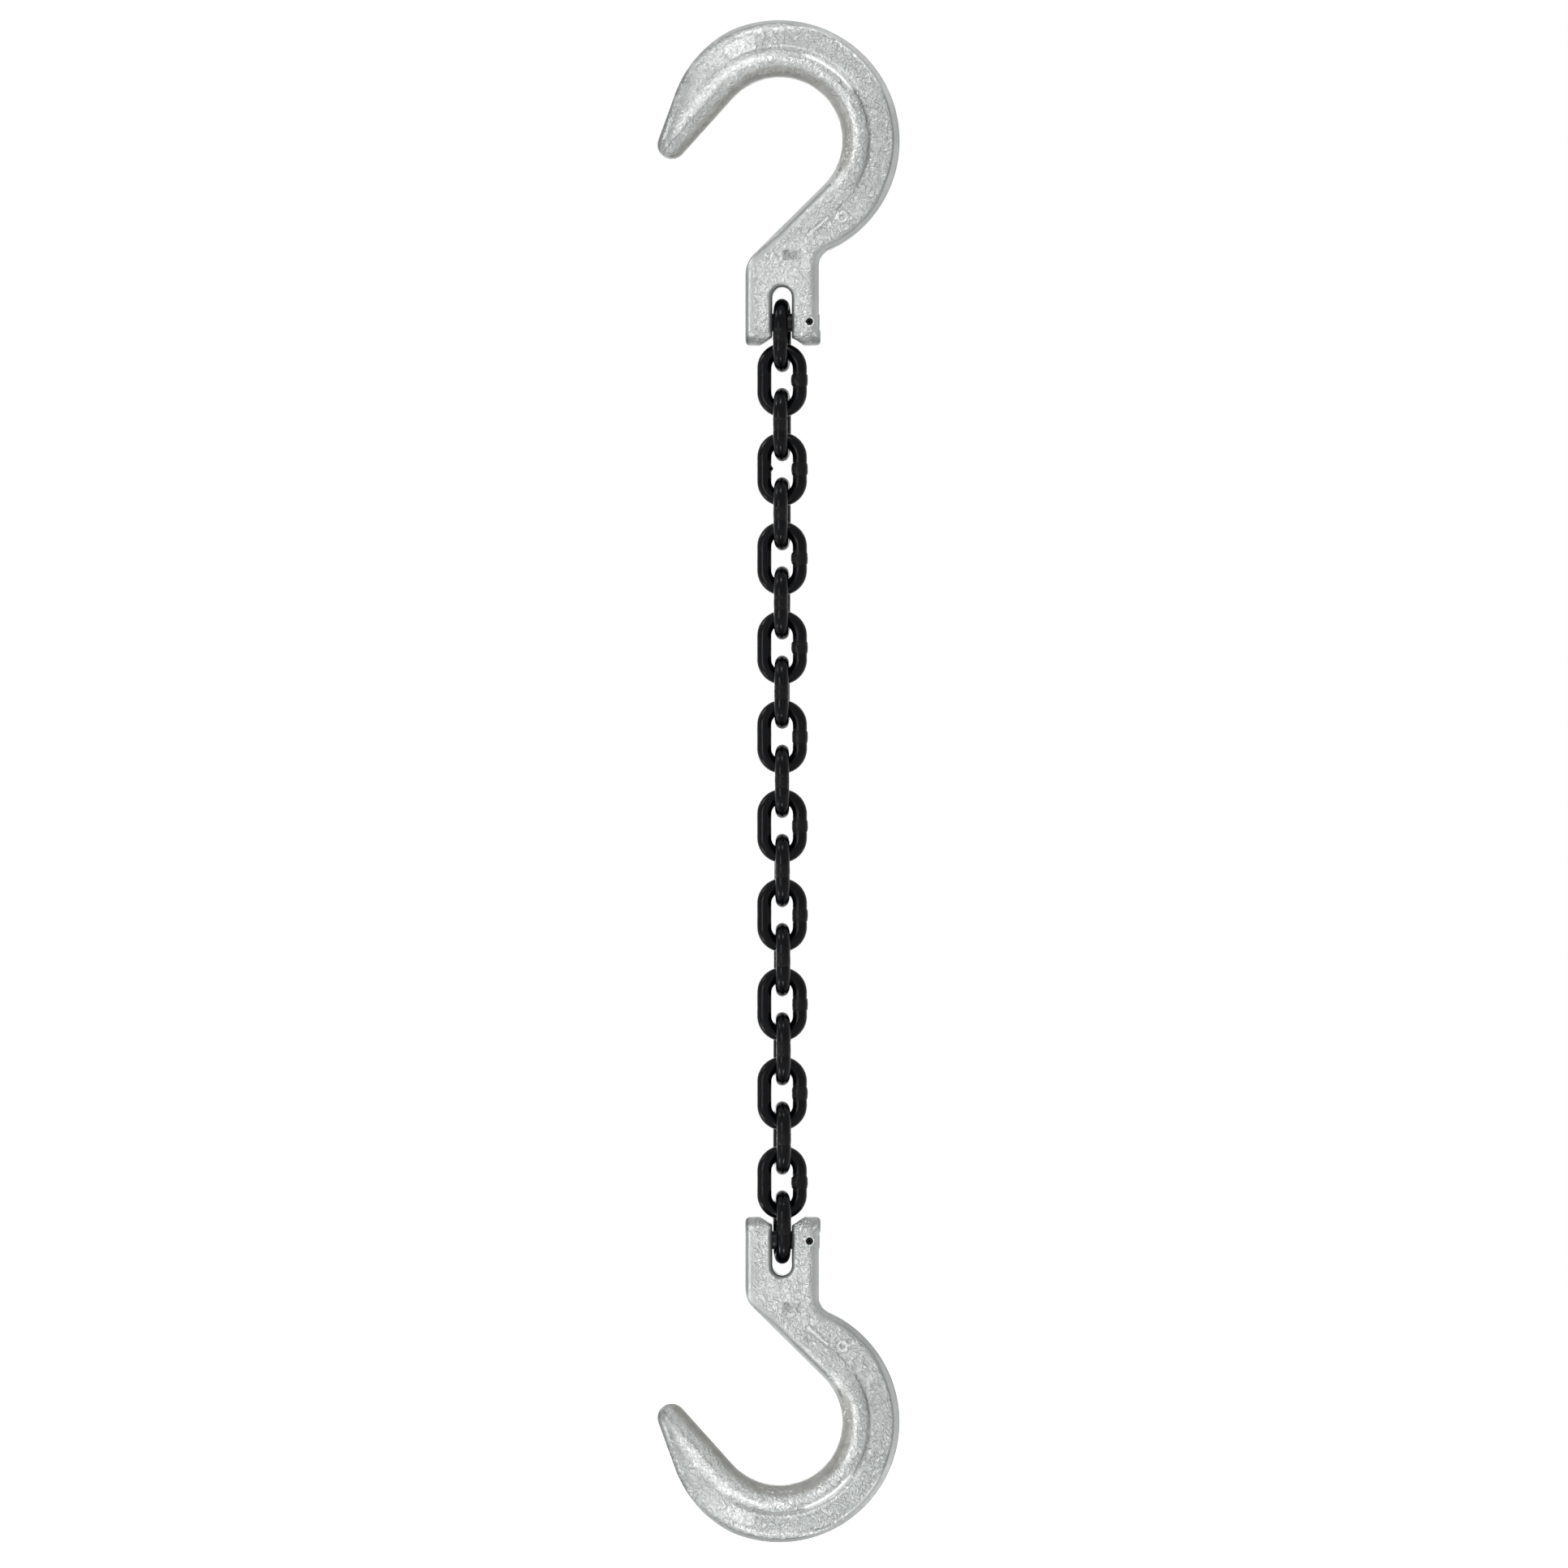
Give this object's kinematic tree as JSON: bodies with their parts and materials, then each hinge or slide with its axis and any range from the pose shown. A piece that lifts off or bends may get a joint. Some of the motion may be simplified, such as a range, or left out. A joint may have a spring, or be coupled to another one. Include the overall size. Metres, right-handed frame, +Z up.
{
  "type": "chain sling",
  "caption": "Lifting chain sling of welded round links, with a forged clevis foundry hook held by a load pin at each end.",
  "frame": {"origin": "centre of the top hook's bowl, midway through its thickness", "axes": "+Z up along the hanging chain, +X to the side that the hooks' backs are on, -Y the front"},
  "size_m": [0.1668, 0.035, 1.0483],
  "materials": {
    "hook_silver": "satin",
    "chain_black": "semi-gloss",
    "load_pin_steel": "satin",
    "lock_pin_steel": "satin"
  },
  "bodies": {
    "top_hook": {"top_hook": "hook_silver", "top_load_pin": "load_pin_steel", "top_lock_pin": "lock_pin_steel"},
    "link_01": {"link_01": "chain_black"},
    "link_02": {"link_02": "chain_black"},
    "link_03": {"link_03": "chain_black"},
    "link_04": {"link_04": "chain_black"},
    "link_05": {"link_05": "chain_black"},
    "link_06": {"link_06": "chain_black"},
    "link_07": {"link_07": "chain_black"},
    "link_08": {"link_08": "chain_black"},
    "link_09": {"link_09": "chain_black"},
    "link_10": {"link_10": "chain_black"},
    "link_11": {"link_11": "chain_black"},
    "link_12": {"link_12": "chain_black"},
    "link_13": {"link_13": "chain_black"},
    "link_14": {"link_14": "chain_black"},
    "link_15": {"link_15": "chain_black"},
    "link_16": {"link_16": "chain_black"},
    "link_17": {"link_17": "chain_black"},
    "link_18": {"link_18": "chain_black"},
    "link_19": {"link_19": "chain_black"},
    "link_20": {"link_20": "chain_black"},
    "link_21": {"link_21": "chain_black"},
    "bottom_hook": {"bottom_hook": "hook_silver", "bottom_load_pin": "load_pin_steel", "bottom_lock_pin": "lock_pin_steel"}
  },
  "joints": [
    {"name": "link_01_swing", "type": "hinge", "parent": "top_hook", "child": "link_01", "pos_m": [0.002, 0, -0.12522], "axis": [1, 0, 0], "range_deg": [-90, 90]},
    {"name": "link_02_swing", "type": "hinge", "parent": "link_01", "child": "link_02", "pos_m": [0.002, 0, -0.15467], "axis": [-0.1045, -0.9945, 0], "range_deg": [-68, 68]},
    {"name": "link_03_swing", "type": "hinge", "parent": "link_02", "child": "link_03", "pos_m": [0.002, 0, -0.18537], "axis": [-0.9947, 0.1032, 0], "range_deg": [-90, 90]},
    {"name": "link_04_swing", "type": "hinge", "parent": "link_03", "child": "link_04", "pos_m": [0.002, 0, -0.21607], "axis": [0.0994, 0.995, 0], "range_deg": [-90, 90]},
    {"name": "link_05_swing", "type": "hinge", "parent": "link_04", "child": "link_05", "pos_m": [0.002, 0, -0.24677], "axis": [0.9957, -0.0932, 0], "range_deg": [-90, 90]},
    {"name": "link_06_swing", "type": "hinge", "parent": "link_05", "child": "link_06", "pos_m": [0.002, 0, -0.27747], "axis": [-0.0846, -0.9964, 0], "range_deg": [-90, 90]},
    {"name": "link_07_swing", "type": "hinge", "parent": "link_06", "child": "link_07", "pos_m": [0.002, 0, -0.30817], "axis": [-0.9973, 0.074, 0], "range_deg": [-90, 90]},
    {"name": "link_08_swing", "type": "hinge", "parent": "link_07", "child": "link_08", "pos_m": [0.002, 0, -0.33887], "axis": [0.0615, 0.9981, 0], "range_deg": [-90, 90]},
    {"name": "link_09_swing", "type": "hinge", "parent": "link_08", "child": "link_09", "pos_m": [0.002, 0, -0.36957], "axis": [0.9989, -0.0475, 0], "range_deg": [-90, 90]},
    {"name": "link_10_swing", "type": "hinge", "parent": "link_09", "child": "link_10", "pos_m": [0.002, 0, -0.40027], "axis": [-0.0324, -0.9995, 0], "range_deg": [-90, 90]},
    {"name": "link_11_swing", "type": "hinge", "parent": "link_10", "child": "link_11", "pos_m": [0.002, 0, -0.43097], "axis": [-0.9999, 0.0164, 0], "range_deg": [-90, 90]},
    {"name": "link_12_swing", "type": "hinge", "parent": "link_11", "child": "link_12", "pos_m": [0.002, 0, -0.46167], "axis": [0, 1, 0], "range_deg": [-90, 90]},
    {"name": "link_13_swing", "type": "hinge", "parent": "link_12", "child": "link_13", "pos_m": [0.002, 0, -0.49237], "axis": [0.9999, 0.0164, 0], "range_deg": [-90, 90]},
    {"name": "link_14_swing", "type": "hinge", "parent": "link_13", "child": "link_14", "pos_m": [0.002, 0, -0.52307], "axis": [0.0324, -0.9995, 0], "range_deg": [-90, 90]},
    {"name": "link_15_swing", "type": "hinge", "parent": "link_14", "child": "link_15", "pos_m": [0.002, 0, -0.55377], "axis": [-0.9989, -0.0475, 0], "range_deg": [-90, 90]},
    {"name": "link_16_swing", "type": "hinge", "parent": "link_15", "child": "link_16", "pos_m": [0.002, 0, -0.58447], "axis": [-0.0615, 0.9981, 0], "range_deg": [-90, 90]},
    {"name": "link_17_swing", "type": "hinge", "parent": "link_16", "child": "link_17", "pos_m": [0.002, 0, -0.61517], "axis": [0.9973, 0.074, 0], "range_deg": [-90, 90]},
    {"name": "link_18_swing", "type": "hinge", "parent": "link_17", "child": "link_18", "pos_m": [0.002, 0, -0.64587], "axis": [0.0846, -0.9964, 0], "range_deg": [-90, 90]},
    {"name": "link_19_swing", "type": "hinge", "parent": "link_18", "child": "link_19", "pos_m": [0.002, 0, -0.67657], "axis": [-0.9957, -0.0932, 0], "range_deg": [-90, 90]},
    {"name": "link_20_swing", "type": "hinge", "parent": "link_19", "child": "link_20", "pos_m": [0.002, 0, -0.70727], "axis": [-0.0994, 0.995, 0], "range_deg": [-90, 90]},
    {"name": "link_21_swing", "type": "hinge", "parent": "link_20", "child": "link_21", "pos_m": [0.002, 0, -0.73797], "axis": [0.9947, 0.1032, 0], "range_deg": [-68, 68]},
    {"name": "bottom_hook_swing", "type": "hinge", "parent": "link_21", "child": "bottom_hook", "pos_m": [0.002, 0, -0.75712], "axis": [-1, 0, 0], "range_deg": [-90, 90]}
  ]
}
